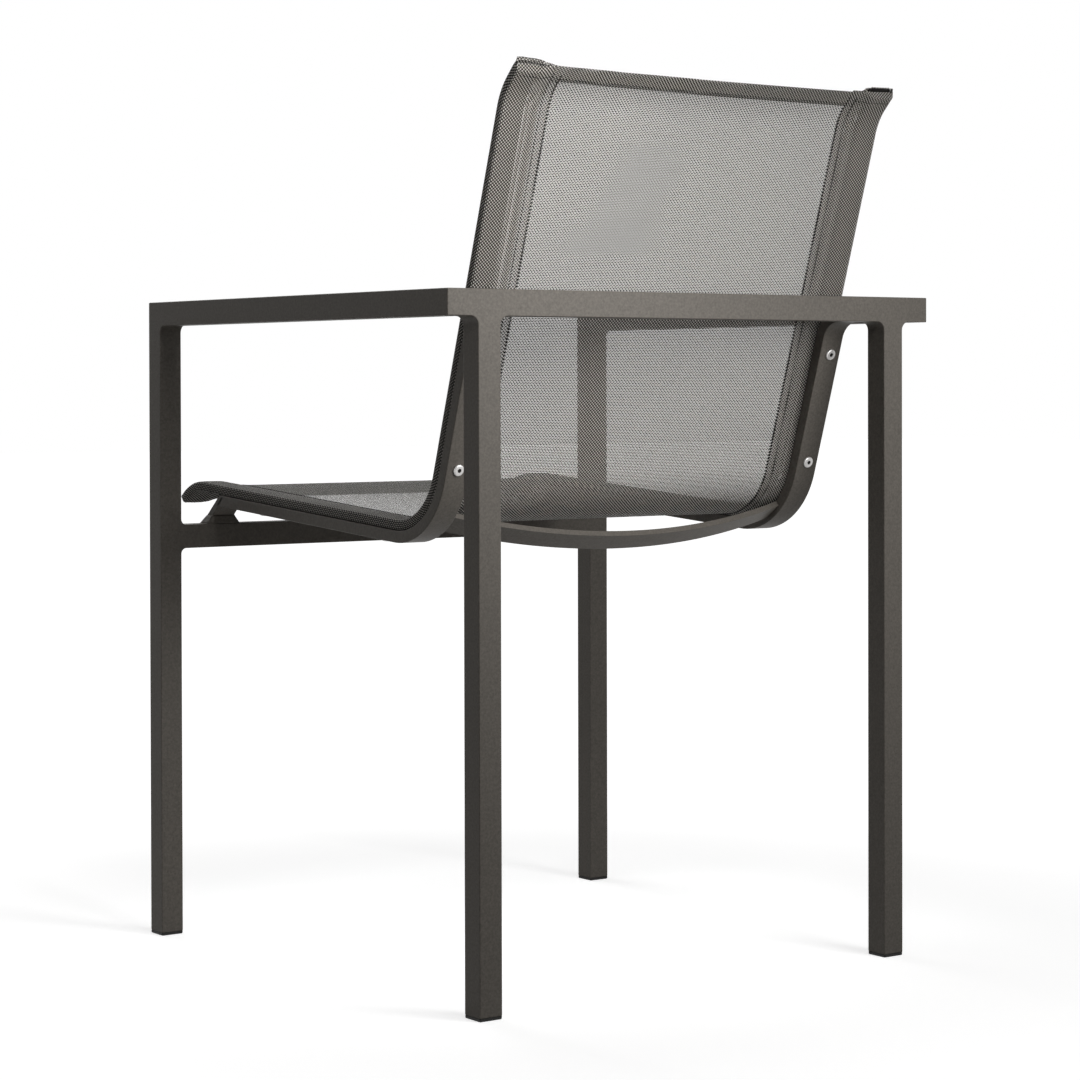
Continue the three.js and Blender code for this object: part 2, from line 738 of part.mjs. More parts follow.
// A button-head screw along y: crowned head below the bar's outer face, shank up into the rail.
function screwGeometry() {
  const headBase = -barThickness - seam;
  const headRadius = screwHeadDiameter / 2;
  const shankRadius = screwShankDiameter / 2;
  const rim = headBase - screwHeadHeight * (1 - screwCrownShare);
  const crown = new THREE.EllipseCurve(
    0, rim, headRadius, screwHeadHeight * screwCrownShare, -quarterTurn, 0,
  ).getPoints(crownSteps);
  const profile = [
    ...crown.map((point, i) => (i === 0 ? new THREE.Vector2(0, point.y) : point)),
    new THREE.Vector2(headRadius, headBase),
    new THREE.Vector2(shankRadius, headBase),
    new THREE.Vector2(shankRadius, railLow + insertLength),
    new THREE.Vector2(0, railLow + insertLength),
  ];
  const socketRadius = screwSocketAcross / Math.sqrt(3);
  const socketSides = 6;
  const socket = new THREE.CylinderGeometry(
    socketRadius, socketRadius, screwSocketDepth + overrun, socketSides,
  ).translate(0, headBase - screwHeadHeight + (screwSocketDepth - overrun) / 2, 0);
  return cutFrom(new THREE.LatheGeometry(profile, roundSteps), socket);
}

function insertGeometry() {
  const inner = screwShankDiameter / 2 + seam;
  const outer = insertDiameter / 2;
  const high = railLow + insertLength;
  return withNormals(new THREE.LatheGeometry([
    new THREE.Vector2(inner, railLow),
    new THREE.Vector2(outer, railLow),
    new THREE.Vector2(outer, high),
    new THREE.Vector2(inner, high),
    new THREE.Vector2(inner, railLow),
  ], roundSteps));
}

function addFasteners() {
  const screw = screwGeometry();
  const insert = insertGeometry();
  for (const [name, place] of Object.entries(screwStations)) {
    addPair(`${name}_screw`, turnAcross(screw.clone(), place), stainless, barX);
    addPair(`${name}_insert`, turnAcross(insert.clone(), place), bareAluminium, barX);
  }
}

addArmLoop();
addRearLegs();
addFrontLegs();
addStretcher();
addFootCaps();
addSupportBars();
addFrontStruts();
addCrossBar();
addSlingRails();
addRailPlugs();
addSling();
addFasteners();

// The origin is the floor point under the middle of the chair's whole width and depth.
const extent = new THREE.Box3().setFromObject(chair);
chair.position.y = -(extent.min.y + extent.max.y) / 2;

export default chair;
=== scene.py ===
import math
import random

import bmesh
import bpy
from mathutils import Matrix, Vector


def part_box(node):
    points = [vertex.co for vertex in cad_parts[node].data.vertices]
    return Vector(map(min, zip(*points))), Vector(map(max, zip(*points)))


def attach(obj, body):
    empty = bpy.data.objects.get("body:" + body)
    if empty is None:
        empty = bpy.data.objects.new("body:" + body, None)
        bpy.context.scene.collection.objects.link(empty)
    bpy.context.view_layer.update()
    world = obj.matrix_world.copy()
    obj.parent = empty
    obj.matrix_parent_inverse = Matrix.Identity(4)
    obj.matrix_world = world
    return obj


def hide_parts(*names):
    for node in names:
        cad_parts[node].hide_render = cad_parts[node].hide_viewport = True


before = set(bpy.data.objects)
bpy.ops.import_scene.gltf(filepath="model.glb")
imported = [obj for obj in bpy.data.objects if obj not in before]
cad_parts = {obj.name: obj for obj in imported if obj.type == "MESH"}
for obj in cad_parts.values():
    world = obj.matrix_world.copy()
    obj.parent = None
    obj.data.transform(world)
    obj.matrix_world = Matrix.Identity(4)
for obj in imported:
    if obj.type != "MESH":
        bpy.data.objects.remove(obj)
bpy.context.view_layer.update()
MM = 0.001

# Camera, from the chair's straight edges in the photograph: place in metres, angles in radians.
camera_place = Vector((1.7563, 2.45139, 0.5824))
camera_yaw, camera_pitch, camera_roll = 0.62767, -0.01176, -0.00222
camera_focal_pixels, picture_width, camera_axis_row = 2880.12, 1080, 418.23
sensor_width = 36


def turned(x_axis, y_axis, z_axis):
    """The turn that takes the three axes to these directions."""
    return Matrix((x_axis, y_axis, z_axis)).transposed()


def add_camera():
    """The photograph's camera. Its axis meets the picture above the middle, hence the shift."""
    aim = Vector((
        -math.sin(camera_yaw) * math.cos(camera_pitch),
        -math.cos(camera_yaw) * math.cos(camera_pitch),
        math.sin(camera_pitch),
    ))
    level = Vector((-math.cos(camera_yaw), math.sin(camera_yaw), 0))
    upright = level.cross(aim)
    right = level * math.cos(camera_roll) + upright * math.sin(camera_roll)
    up = upright * math.cos(camera_roll) - level * math.sin(camera_roll)
    data = bpy.data.cameras.new("photo_camera")
    data.sensor_width = sensor_width
    data.lens = camera_focal_pixels * sensor_width / picture_width
    data.shift_y = (camera_axis_row - picture_width / 2) / picture_width
    data.clip_start, data.clip_end = 0.1, 60
    camera = bpy.data.objects.new("photo_camera", data)
    bpy.context.scene.collection.objects.link(camera)
    camera.matrix_world = Matrix.Translation(camera_place) @ turned(right, up, -aim).to_4x4()
    bpy.context.scene.camera = camera


add_camera()

# Sizes that the looks share with the solids, in metres
tube, tube_wall = 25 * MM, 1.6 * MM
arm_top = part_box("arm_left")[1].z
arm_under = arm_top - tube
outer_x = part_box("arm_left")[1].x
inner_x = outer_x - tube
rear_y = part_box("rear_rail")[1].y
front_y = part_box("front_foot_cap_left")[0].y
leg_foot = 3 * MM
rear_leg_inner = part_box("rear_foot_cap_left")[0].x
rear_leg_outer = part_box("rear_foot_cap_left")[1].x
stretcher_top = 434.3 * MM
bar_inner, bar_outer = (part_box("support_bar_left")[i].x for i in (0, 1))
bar_x = (bar_inner + bar_outer) / 2
bar_thick, strut_thick = 11.8 * MM, 8 * MM

# Rounding of the edges, and how far welded ends go in
tube_edge, bar_edge, strut_edge = 1.0 * MM, 1.0 * MM, 0.8 * MM
weld_overlap = 0.4 * MM

# The side line's own sizes: heights and reaches of its corners, radii and the straights at its ends
seat_over_stretcher, back_before_rail = 33.2 * MM, 35.2 * MM
nose_before_legs, tip_over_arms = 21.1 * MM, 177.6 * MM
seat_radius, end_radius = 74.2 * MM, 54 * MM
bar_top_radius, solid_top_radius = 22 * MM, 9 * MM
nose_straight, tip_straight = 5.5 * MM, 13.7 * MM

seat_angle = -math.radians(4)
back_angle = math.pi / 2 - math.radians(17.4)
tip_angle = math.radians(45)
nose_angle = math.radians(36)
strut_angle = math.radians(40)


# The side line: the upper face of the support bars, as points (y, z) with headings.

def heading(angle):
    return Vector((math.cos(angle), math.sin(angle)))


def across(angle):
    return Vector((-math.sin(angle), math.cos(angle)))


def on_seat(y):
    return Vector((y, stretcher_top + seat_over_stretcher + (y - front_y) * math.tan(seat_angle)))


def on_back(z):
    foot = rear_y - tube - back_before_rail
    return Vector((foot + (z - arm_under - bar_thick) / math.tan(back_angle), z))


def crossing(point, angle, other, other_angle):
    """Where two lines meet, each given by a point and its heading."""
    side = across(angle)
    return other + heading(other_angle) * ((point - other).dot(side) / heading(other_angle).dot(side))


seat_corner = crossing(on_seat(front_y), seat_angle, on_back(arm_under), back_angle)
nose_corner = on_seat(front_y - nose_before_legs)
tip_corner = on_back(arm_top + tip_over_arms)
bar_top_corner = on_back(arm_under + bar_thick)


class Bend:
    """The arc that joins two headings at a corner."""

    def __init__(self, corner, before, after, radius):
        self.turn, self.radius, self.before = after - before, radius, before
        self.tangent = radius * math.tan(abs(self.turn) / 2)
        self.start = corner - heading(before) * self.tangent
        self.end = corner + heading(after) * self.tangent
        self.centre = self.start + across(before) * math.copysign(radius, self.turn)

    def points(self, steps):
        for i in range(steps + 1):
            angle = self.before + self.turn * i / steps
            at = self.centre - across(angle) * math.copysign(self.radius, self.turn)
            yield at, angle


seat_bend = Bend(seat_corner, seat_angle, back_angle, seat_radius)
nose_bend = Bend(nose_corner, nose_angle, seat_angle, end_radius)
tip_bend = Bend(tip_corner, back_angle, tip_angle, end_radius)
bar_top_bend = Bend(bar_top_corner, back_angle, 0, bar_top_radius + bar_thick)
solid_top_bend = Bend(bar_top_corner, back_angle, 0, solid_top_radius + bar_thick)
nose_end = nose_bend.start - heading(nose_angle) * nose_straight
tip_end = tip_bend.end + heading(tip_angle) * tip_straight


def straight(start, end, angle, step):
    """Places along a straight stretch, without its end."""
    count = max(1, round((end - start).length / step))
    return [(start.lerp(end, i / count), angle) for i in range(count)]


def sling_stations():
    """Places along the sling from its nose to its tip: run, point, heading angle."""
    fine, coarse = 2 * MM, 14 * MM
    line = straight(nose_end, nose_bend.start, nose_angle, fine)
    line += list(nose_bend.points(14))[:-1]
    line += straight(nose_bend.end, seat_bend.start, seat_angle, coarse)
    line += list(seat_bend.points(30))[:-1]
    line += straight(seat_bend.end, tip_bend.start, back_angle, coarse)
    line += list(tip_bend.points(12))[:-1]
    line += straight(tip_bend.end, tip_end, tip_angle, fine)
    line.append((tip_end, tip_angle))
    stations, run = [], 0
    for i, (at, angle) in enumerate(line):
        run += (at - line[i - 1][0]).length if i else 0
        stations.append((run, at, angle))
    return stations


# Modelling in edit mode

def deselect():
    """Leaves edit mode, with nothing selected."""
    if bpy.context.object and bpy.context.object.mode != "OBJECT":
        bpy.ops.object.mode_set(mode="OBJECT")
    bpy.ops.object.select_all(action="DESELECT")


def begin_box(name, low, high):
    """A box between two corners, open in edit mode for shaping."""
    deselect()
    low, high = Vector(low), Vector(high)
    bpy.ops.mesh.primitive_cube_add(size=1, location=(low + high) / 2, scale=high - low)
    return settle(name)


def settle(name):
    """Names the new piece and opens it in edit mode, with its place and size in its mesh."""
    piece = bpy.context.object
    piece.name = piece.data.name = name
    bpy.ops.object.transform_apply(location=True, rotation=True, scale=True)
    bpy.ops.object.mode_set(mode="EDIT")
    return piece


def pick(mode, test):
    """Selects only the faces or edges that pass the test."""
    bpy.ops.mesh.select_mode(type=mode)
    bpy.ops.mesh.select_all(action="DESELECT")
    mesh = bmesh.from_edit_mesh(bpy.context.object.data)
    found = [item for item in (mesh.faces if mode == "FACE" else mesh.edges) if test(item)]
    if not found:
        raise RuntimeError(f"nothing to pick on {bpy.context.object.name}")
    for item in found:
        item.select_set(True)
    bmesh.update_edit_mesh(bpy.context.object.data)


def facing(direction, *limits):
    """Picks faces with that normal whose middle lies within limits of (axis, low, high)."""
    direction = Vector(direction)

    def test(face):
        middle = face.calc_center_median()
        inside = all(low < middle[axis] < high for axis, low, high in limits)
        return inside and face.normal.dot(direction) > 0.99

    pick("FACE", test)


def edges_along(axis, *limits):
    """Picks edges that run along an axis and whose middle lies within the limits."""

    def test(edge):
        a, b = (v.co for v in edge.verts)
        middle, run = (a + b) / 2, (b - a).normalized()
        return abs(run[axis]) > 0.99 and all(low < middle[k] < high for k, low, high in limits)

    pick("EDGE", test)


def span(a, b):
    """Limits across the chair between two places, for either side."""
    return 0, min(a, b), max(a, b)


def extrude(x=0, y=0, z=0):
    bpy.ops.mesh.extrude_region_move(TRANSFORM_OT_translate={"value": (x, y, z)})


def fillet(radius, segments):
    bpy.ops.mesh.bevel(offset=radius, segments=segments, affect="EDGES", clamp_overlap=False)


def bisect_all(point, normal, **options):
    bpy.ops.mesh.select_all(action="SELECT")
    bpy.ops.mesh.bisect(plane_co=point, plane_no=normal, **options)


def close_up():
    """Merges doubled points and turns all faces outwards."""
    bpy.ops.mesh.select_all(action="SELECT")
    bpy.ops.mesh.remove_doubles(threshold=0.02 * MM)
    bpy.ops.mesh.normals_make_consistent(inside=False)


def soften_edges(piece, radius, segments=3, limit=35):
    """Rounds every sharp edge and keeps the flats flat."""
    if piece.mode == "EDIT":
        bpy.ops.object.mode_set(mode="OBJECT")
    deselect()
    piece.select_set(True)
    bpy.context.view_layer.objects.active = piece
    bpy.ops.object.shade_smooth_by_angle(angle=math.radians(limit))
    edge = piece.modifiers.new("rounded_edges", "BEVEL")
    edge.width, edge.segments = radius, segments
    edge.limit_method, edge.angle_limit = "ANGLE", math.radians(limit)
    edge.harden_normals = True
    edge.use_clamp_overlap = False
    bpy.ops.object.modifier_apply(modifier=edge.name)


def finish_piece(piece, material, slot, *nodes):
    """Gives a piece its look, and puts it in the place of any CAD nodes that are named."""
    deselect()
    piece.data.materials.clear()
    piece.data.materials.append(material)
    if nodes:
        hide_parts(*nodes)
    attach(piece, "root")
    return piece


def copy_of(piece, name, matrix):
    """A copy with its own mesh, moved or mirrored by the matrix."""
    twin = piece.copy()
    twin.data = piece.data.copy()
    twin.name = twin.data.name = name
    bpy.context.scene.collection.objects.link(twin)
    twin.data.transform(matrix)
    if matrix.determinant() < 0:
        twin.data.flip_normals()
    return twin


mirror_x = Matrix.Scale(-1, 4, (1, 0, 0))
both = ((1, "left"), (-1, "right"))


# Node groups and materials

def new_group(name, inputs, outputs):
    tree = bpy.data.node_groups.new(name, "ShaderNodeTree")
    for label, kind, value in inputs:
        socket = tree.interface.new_socket(label, in_out="INPUT", socket_type=kind)
        if value is not None:
            socket.default_value = value
    for label, kind in outputs:
        tree.interface.new_socket(label, in_out="OUTPUT", socket_type=kind)
    return tree, tree.nodes.new("NodeGroupInput"), tree.nodes.new("NodeGroupOutput")


def node(tree, kind, links=None, **settings):
    """A new node with its settings, and with a link or a value for each named socket."""
    made = tree.nodes.new(kind)
    for key, value in settings.items():
        setattr(made, key, value)
    for socket, value in (links or {}).items():
        target = made.inputs[socket]
        if isinstance(value, bpy.types.NodeSocket):
            tree.links.new(value, target)
        else:
            target.default_value = value
    return made


def math_node(tree, operation, *values):
    return node(tree, "ShaderNodeMath", dict(enumerate(values)), operation=operation).outputs[0]


def scaled(tree, colour, factor):
    """A colour times a number."""
    return node(tree, "ShaderNodeVectorMath", {0: colour, "Scale": factor}, operation="SCALE").outputs[0]


def make_grain():
    """Fine sprayed or moulded grain: colour flecks, a slow drift of tone, roughness and bump."""
    tree, given, out = new_group(
        "surface_grain",
        [
            ("Vector", "NodeSocketVector", None),
            ("Colour", "NodeSocketColor", (0.1, 0.1, 0.1, 1)),
            ("Grain Scale", "NodeSocketFloat", 1200.0),
            ("Fleck", "NodeSocketFloat", 0.2),
            ("Drift", "NodeSocketFloat", 0.1),
            ("Roughness", "NodeSocketFloat", 0.5),
            ("Bump", "NodeSocketFloat", 0.2),
        ],
        [("Colour", "NodeSocketColor"), ("Roughness", "NodeSocketFloat"), ("Normal", "NodeSocketVector")],
    )
    fine = node(tree, "ShaderNodeTexNoise", {
        "Vector": given.outputs["Vector"], "Scale": given.outputs["Grain Scale"],
        "Detail": 3.0, "Roughness": 0.6,
    })
    broad = node(tree, "ShaderNodeTexNoise", {"Vector": given.outputs["Vector"], "Scale": 7.0, "Detail": 3.0})
    fleck, drift = (
        math_node(tree, "MULTIPLY", math_node(tree, "SUBTRACT", noise.outputs["Fac"], 0.5),
                  given.outputs[amount])
        for noise, amount in ((fine, "Fleck"), (broad, "Drift"))
    )
    tone = math_node(tree, "ADD", math_node(tree, "ADD", fleck, drift), 1.0)
    rough = math_node(tree, "ADD", given.outputs["Roughness"], math_node(tree, "MULTIPLY", drift, 0.8))
    bump = node(tree, "ShaderNodeBump", {
        "Strength": given.outputs["Bump"], "Distance": 0.0002, "Height": fine.outputs["Fac"],
    })
    tree.links.new(scaled(tree, given.outputs["Colour"], tone), out.inputs["Colour"])
    tree.links.new(rough, out.inputs["Roughness"])
    tree.links.new(bump.outputs[0], out.inputs["Normal"])
    return tree


def make_weave():
    """Light yarns along the cloth and dark ones across it, over and under each other, with open gaps, and
    painted shade and highlight: darker where they dive under, lighter along their crowns.
    """
    tree, given, out = new_group(
        "open_weave",
        [
            ("Vector", "NodeSocketVector", None),
            ("Pitch Across", "NodeSocketFloat", 0.0018),
            ("Pitch Along", "NodeSocketFloat", 0.0016),
            ("Yarn Share", "NodeSocketFloat", 0.52),
            ("Light", "NodeSocketColor", (0.4, 0.38, 0.35, 1)),
            ("Dark", "NodeSocketColor", (0.03, 0.03, 0.03, 1)),
        ],
        [("Colour", "NodeSocketColor"), ("Cover", "NodeSocketFloat"), ("Height", "NodeSocketFloat")],
    )
    parts = node(tree, "ShaderNodeSeparateXYZ", {0: given.outputs["Vector"]})
    share = given.outputs["Yarn Share"]
    cells = [
        math_node(tree, "DIVIDE", parts.outputs[i], given.outputs[name])
        for i, name in enumerate(("Pitch Across", "Pitch Along"))
    ]
    covers, heights = [], []
    for i, sign in ((0, 1.0), (1, -1.0)):
        # A yarn rises over every second crossing, half a wave out of step with its neighbours.
        phase = math_node(tree, "ADD", math_node(tree, "SUBTRACT", cells[1 - i], 0.5),
                          math_node(tree, "FLOOR", cells[i]))
        wave = math_node(tree, "COSINE", math_node(tree, "MULTIPLY", phase, math.pi))
        lift = math_node(tree, "MULTIPLY_ADD", wave, 0.5 * sign, 0.5)
        # It is widest where it lies on top. Its section is a dome over the distance from its middle line.
        width = math_node(tree, "MULTIPLY", share, math_node(tree, "MULTIPLY_ADD", lift, 0.7, 0.55))
        centred = math_node(tree, "SUBTRACT", math_node(tree, "FRACT", cells[i]), 0.5)
        doubled = math_node(tree, "MULTIPLY", math_node(tree, "ABSOLUTE", centred), 2.0)
        aside = math_node(tree, "DIVIDE", doubled, width)
        covers.append(math_node(tree, "LESS_THAN", aside, 1.0))
        hollow = math_node(tree, "SUBTRACT", 1.0, math_node(tree, "MULTIPLY", aside, aside))
        dome = math_node(tree, "SQRT", math_node(tree, "MAXIMUM", hollow, 0.0))
        raised = math_node(tree, "MULTIPLY_ADD", dome, 0.6, lift)
        heights.append(math_node(tree, "MULTIPLY", raised, covers[-1]))
    above = math_node(tree, "GREATER_THAN", *heights)
    height = math_node(tree, "MAXIMUM", *heights)
    colour = node(tree, "ShaderNodeMix", {
        0: above, 6: given.outputs["Dark"], 7: given.outputs["Light"],
    }, data_type="RGBA").outputs[2]
    # Painted shade and highlight: yarns are darkened where they dive under, and lightened along their crowns.
    crown_shade_and_highlight = node(tree, "ShaderNodeMapRange", {
        "Value": height, "From Min": 0.85, "From Max": 1.6, "To Min": 0.05, "To Max": 1.6,
    })
    tree.links.new(scaled(tree, colour, crown_shade_and_highlight.outputs[0]), out.inputs["Colour"])
    tree.links.new(math_node(tree, "MAXIMUM", *covers), out.inputs["Cover"])
    tree.links.new(height, out.inputs["Height"])
    return tree


grain, weave = make_grain(), make_weave()


def new_material(name):
    material = bpy.data.materials.new(name)
    material.use_nodes = True
    tree = material.node_tree
    shader = tree.nodes["Principled BSDF"]
    return material, tree, shader


def grained(name, colour, scale, fleck, drift, roughness, bump, metallic=0.0, specular=0.5):
    """A finish with the shared grain on it."""
    material, tree, shader = new_material(name)
    place = tree.nodes.new("ShaderNodeTexCoord")
    surface = node(tree, "ShaderNodeGroup", {
        "Vector": place.outputs["Object"], "Colour": (*colour, 1), "Grain Scale": scale,
        "Fleck": fleck, "Drift": drift, "Roughness": roughness, "Bump": bump,
    }, node_tree=grain)
    tree.links.new(surface.outputs["Colour"], shader.inputs["Base Color"])
    tree.links.new(surface.outputs["Roughness"], shader.inputs["Roughness"])
    tree.links.new(surface.outputs["Normal"], shader.inputs["Normal"])
    shader.inputs["Metallic"].default_value = metallic
    shader.inputs["Specular IOR Level"].default_value = specular
    return material


powder_coat = grained("powder_coat", (0.096, 0.087, 0.076), 450, 0.9, 0.12, 0.5, 0.35, specular=0.12)
black_plastic = grained("black_plastic", (0.014, 0.0135, 0.013), 900, 0.3, 0.1, 0.5, 0.2, specular=0.2)
stainless = grained("stainless_steel", (0.52, 0.51, 0.50), 2400, 0.12, 0.1, 0.42, 0.08, metallic=1.0)
plain_aluminium = grained("plain_aluminium", (0.60, 0.60, 0.59), 1600, 0.15, 0.1, 0.42, 0.1, metallic=1.0)
socket_shade = grained("socket_shade", (0.02, 0.019, 0.018), 900, 0.3, 0.1, 0.7, 0.2, specular=0.1)
# Dark thread for the stitches; the same finish colours the painted shade strips inside the sleeves' mouths.
thread_and_painted_shade = grained("thread_and_painted_shade", (0.014, 0.013, 0.012), 3000, 0.5, 0.1, 0.8, 0.3, specular=0.1)


def make_mesh_cloth():
    """Coated yarns that let some light through from behind, with the gaps cut out by Alpha."""
    material, tree, shader = new_material("mesh_cloth")
    flat = node(tree, "ShaderNodeUVMap", uv_map="cloth")
    yarns = node(tree, "ShaderNodeGroup", {
        "Vector": flat.outputs[0], "Pitch Across": 1.83 * MM, "Pitch Along": 1.63 * MM, "Yarn Share": 0.468,
        "Light": (0.45, 0.432, 0.402, 1), "Dark": (0.020, 0.018, 0.016, 1),
    }, node_tree=weave)
    place = tree.nodes.new("ShaderNodeTexCoord")
    broad = node(tree, "ShaderNodeTexNoise", {"Vector": place.outputs["Object"], "Scale": 9.0, "Detail": 2.0})
    drift = node(tree, "ShaderNodeMapRange", {"Value": broad.outputs["Fac"], "To Min": 0.9, "To Max": 1.1})
    toned = scaled(tree, yarns.outputs["Colour"], drift.outputs[0])
    bump = node(tree, "ShaderNodeBump", {
        "Strength": 0.5, "Distance": 0.0003, "Height": yarns.outputs["Height"],
    })
    tree.links.new(toned, shader.inputs["Base Color"])
    tree.links.new(bump.outputs[0], shader.inputs["Normal"])
    tree.links.new(yarns.outputs["Cover"], shader.inputs["Alpha"])
    shader.inputs["Roughness"].default_value = 0.75
    shader.inputs["Specular IOR Level"].default_value = 0.1
    glow = node(tree, "ShaderNodeBsdfTranslucent", {"Color": (0.70, 0.69, 0.66, 1)})
    cloth = node(tree, "ShaderNodeMixShader", {0: 0.02})
    tree.links.new(shader.outputs[0], cloth.inputs[1])
    tree.links.new(glow.outputs[0], cloth.inputs[2])
    tree.links.new(cloth.outputs[0], tree.nodes["Material Output"].inputs["Surface"])
    return material


mesh_cloth = make_mesh_cloth()


# Welded frame: arm loop, legs and stretcher as one seamless body

rear_fillet, arm_fillet, stretcher_fillet = 8.6 * MM, 8 * MM, 6 * MM
leg_hollow = 24 * MM


def inner_face_at_stretcher(face):
    """Whether a face is a front leg's inner one, level with the stretcher."""
    middle = face.calc_center_median()
    inwards = abs(face.normal.x) > 0.99 and face.normal.x * middle.x < 0
    level = stretcher_top - tube < middle.z < stretcher_top
    return inwards and level and abs(abs(middle.x) - inner_x) < MM


def model_welded_frame():
    """The rear rail is drawn out into arms and rear legs, and then into front legs and stretcher."""
    piece = begin_box(
        "welded_frame", (-rear_leg_inner, rear_y - tube, arm_under), (rear_leg_inner, rear_y, arm_top))
    for sign, _ in both:
        for reach in (rear_leg_outer - rear_leg_inner, outer_x - rear_leg_outer):
            facing((sign, 0, 0), span(sign * (rear_leg_inner - MM), sign * (outer_x - MM)))
            extrude(x=sign * reach)
        facing((0, 0, -1), span(sign * rear_leg_inner, sign * rear_leg_outer))
        extrude(z=leg_foot - arm_under)
    edges_along(1, (2, arm_under - MM, arm_under + MM), (0, -rear_leg_outer - MM, rear_leg_outer + MM))
    fillet(rear_fillet, 7)
    for sign, _ in both:
        bisect_all((sign * inner_x, 0, 0), (1, 0, 0))
        facing((0, -1, 0), span(sign * inner_x, sign * outer_x), (2, arm_under, arm_top))
        extrude(y=front_y + tube - (rear_y - tube))
        extrude(y=-tube)
        facing((0, 0, -1), span(sign * inner_x, sign * outer_x), (1, front_y, front_y + tube))
        for depth in (arm_under - stretcher_top, tube, stretcher_top - tube - leg_foot):
            extrude(z=-depth)
    pick("FACE", inner_face_at_stretcher)
    bpy.ops.mesh.bridge_edge_loops()
    edges_along(0, (1, front_y + tube - MM, front_y + tube + MM), (2, arm_under - MM, arm_under + MM))
    fillet(arm_fillet, 7)
    edges_along(1, (1, front_y, front_y + tube), (2, stretcher_top - tube - MM, stretcher_top + MM),
                (0, -inner_x - MM, inner_x + MM))
    fillet(stretcher_fillet, 6)
    close_up()
    soften_edges(piece, tube_edge)
    bpy.ops.object.mode_set(mode="EDIT")
    facing((0, 0, -1), (2, leg_foot - MM, leg_foot + MM))
    bpy.ops.mesh.inset(thickness=tube_wall - tube_edge, use_individual=True)
    extrude(z=leg_hollow)
    bpy.ops.object.mode_set(mode="OBJECT")
    return piece


finish_piece(
    model_welded_frame(), powder_coat, "frame_paint", "rear_rail", "front_stretcher",
    *(f"{name}_{side}" for name in ("arm", "rear_leg", "front_leg") for _, side in both))


# Support bars, struts and cross bar

def begin_section(name, centre, angle, width, height):
    """A flat section across a bar that heads along angle in the side plane, in edit mode."""
    deselect()
    bpy.ops.mesh.primitive_plane_add(size=1)
    piece = bpy.context.object
    piece.scale = (width, height, 1)
    piece.rotation_euler = turned((1, 0, 0), (0, *across(angle)), (0, *-heading(angle))).to_euler()
    piece.location = centre
    return settle(name)


def spin_about(centre, turn, steps):
    """Carries the selected section round a bend in the side plane; spin counts angles clockwise."""
    bpy.ops.mesh.spin(steps=steps, angle=-turn, center=(0, *centre), axis=(1, 0, 0))


def model_support_bar():
    """A flat bar along the seat and up the back, cut at the front in line with the strut."""
    front = on_seat(front_y + 5 * MM)
    centre = front - across(seat_angle) * bar_thick / 2
    piece = begin_section(
        "support_bar_dressed_left", (bar_x, *centre), seat_angle, bar_outer - bar_inner, bar_thick)
    extrude(0, *(seat_bend.start - front))
    spin_about(seat_bend.centre, seat_bend.turn, 36)
    extrude(0, *(bar_top_bend.start - seat_bend.end))
    spin_about(bar_top_bend.centre, bar_top_bend.turn, 14)
    extrude(0, rear_y - tube + weld_overlap - bar_top_bend.end.x, 0)
    close_up()
    cut = Vector((front_y, stretcher_top)) - across(strut_angle) * strut_thick / 2
    bisect_all((0, *cut), (0, *-across(strut_angle)), use_fill=True, clear_inner=True)
    close_up()
    soften_edges(piece, bar_edge)
    return piece


def model_front_strut():
    """A flat bar from the stretcher up to the seat, cut level at its foot."""
    foot, up = Vector((front_y, stretcher_top)), heading(strut_angle)
    reach = (seat_corner - foot).dot(across(seat_angle)) / up.dot(across(seat_angle))
    start = foot - across(strut_angle) * strut_thick / 2 - up * strut_thick
    piece = begin_section(
        "front_strut_dressed_left", (bar_x, *start), strut_angle, bar_outer - bar_inner, strut_thick)
    extrude(0, *(up * (reach + 20 * MM)))
    close_up()
    bisect_all((0, *foot), (0, 0, 1), use_fill=True, clear_inner=True)
    bisect_all((0, *seat_corner), (0, *across(seat_angle)), use_fill=True, clear_outer=True)
    close_up()
    soften_edges(piece, strut_edge)
    return piece


def model_strut_weld():
    """The bead of weld round the strut's foot: it fills the sharp corner behind and spreads out below."""
    rise, inner_spread, outer_spread, margin = 9 * MM, 7.5 * MM, 5.5 * MM, 0.6 * MM
    width, depth = bar_outer - bar_inner, strut_thick / math.sin(strut_angle)
    low = Vector((bar_inner - inner_spread, front_y + margin, stretcher_top - MM))
    high = Vector((bar_outer + outer_spread, front_y + tube - margin, stretcher_top + rise))
    piece = begin_box("strut_weld_left", low, high)
    facing((0, 0, 1), (2, high.z - MM, high.z + MM))
    bpy.ops.transform.resize(value=((width + MM) / (high.x - low.x), (depth + MM) / (high.y - low.y), 1))
    top_y = front_y + rise / math.tan(strut_angle) + depth / 2
    bpy.ops.transform.translate(value=(bar_x - (low.x + high.x) / 2, top_y - (low.y + high.y) / 2, 0))
    bpy.ops.mesh.select_all(action="SELECT")
    bpy.ops.mesh.subdivide(number_cuts=5, smoothness=0)
    facing((0, 0, 1), (2, high.z - MM, high.z + MM))
    bpy.ops.mesh.select_all(action="INVERT")
    bpy.ops.transform.vertex_random(offset=0.7 * MM, seed=5)
    bpy.ops.mesh.vertices_smooth(factor=0.5, repeat=1)
    bpy.ops.object.mode_set(mode="OBJECT")
    bpy.ops.object.shade_smooth()
    return piece


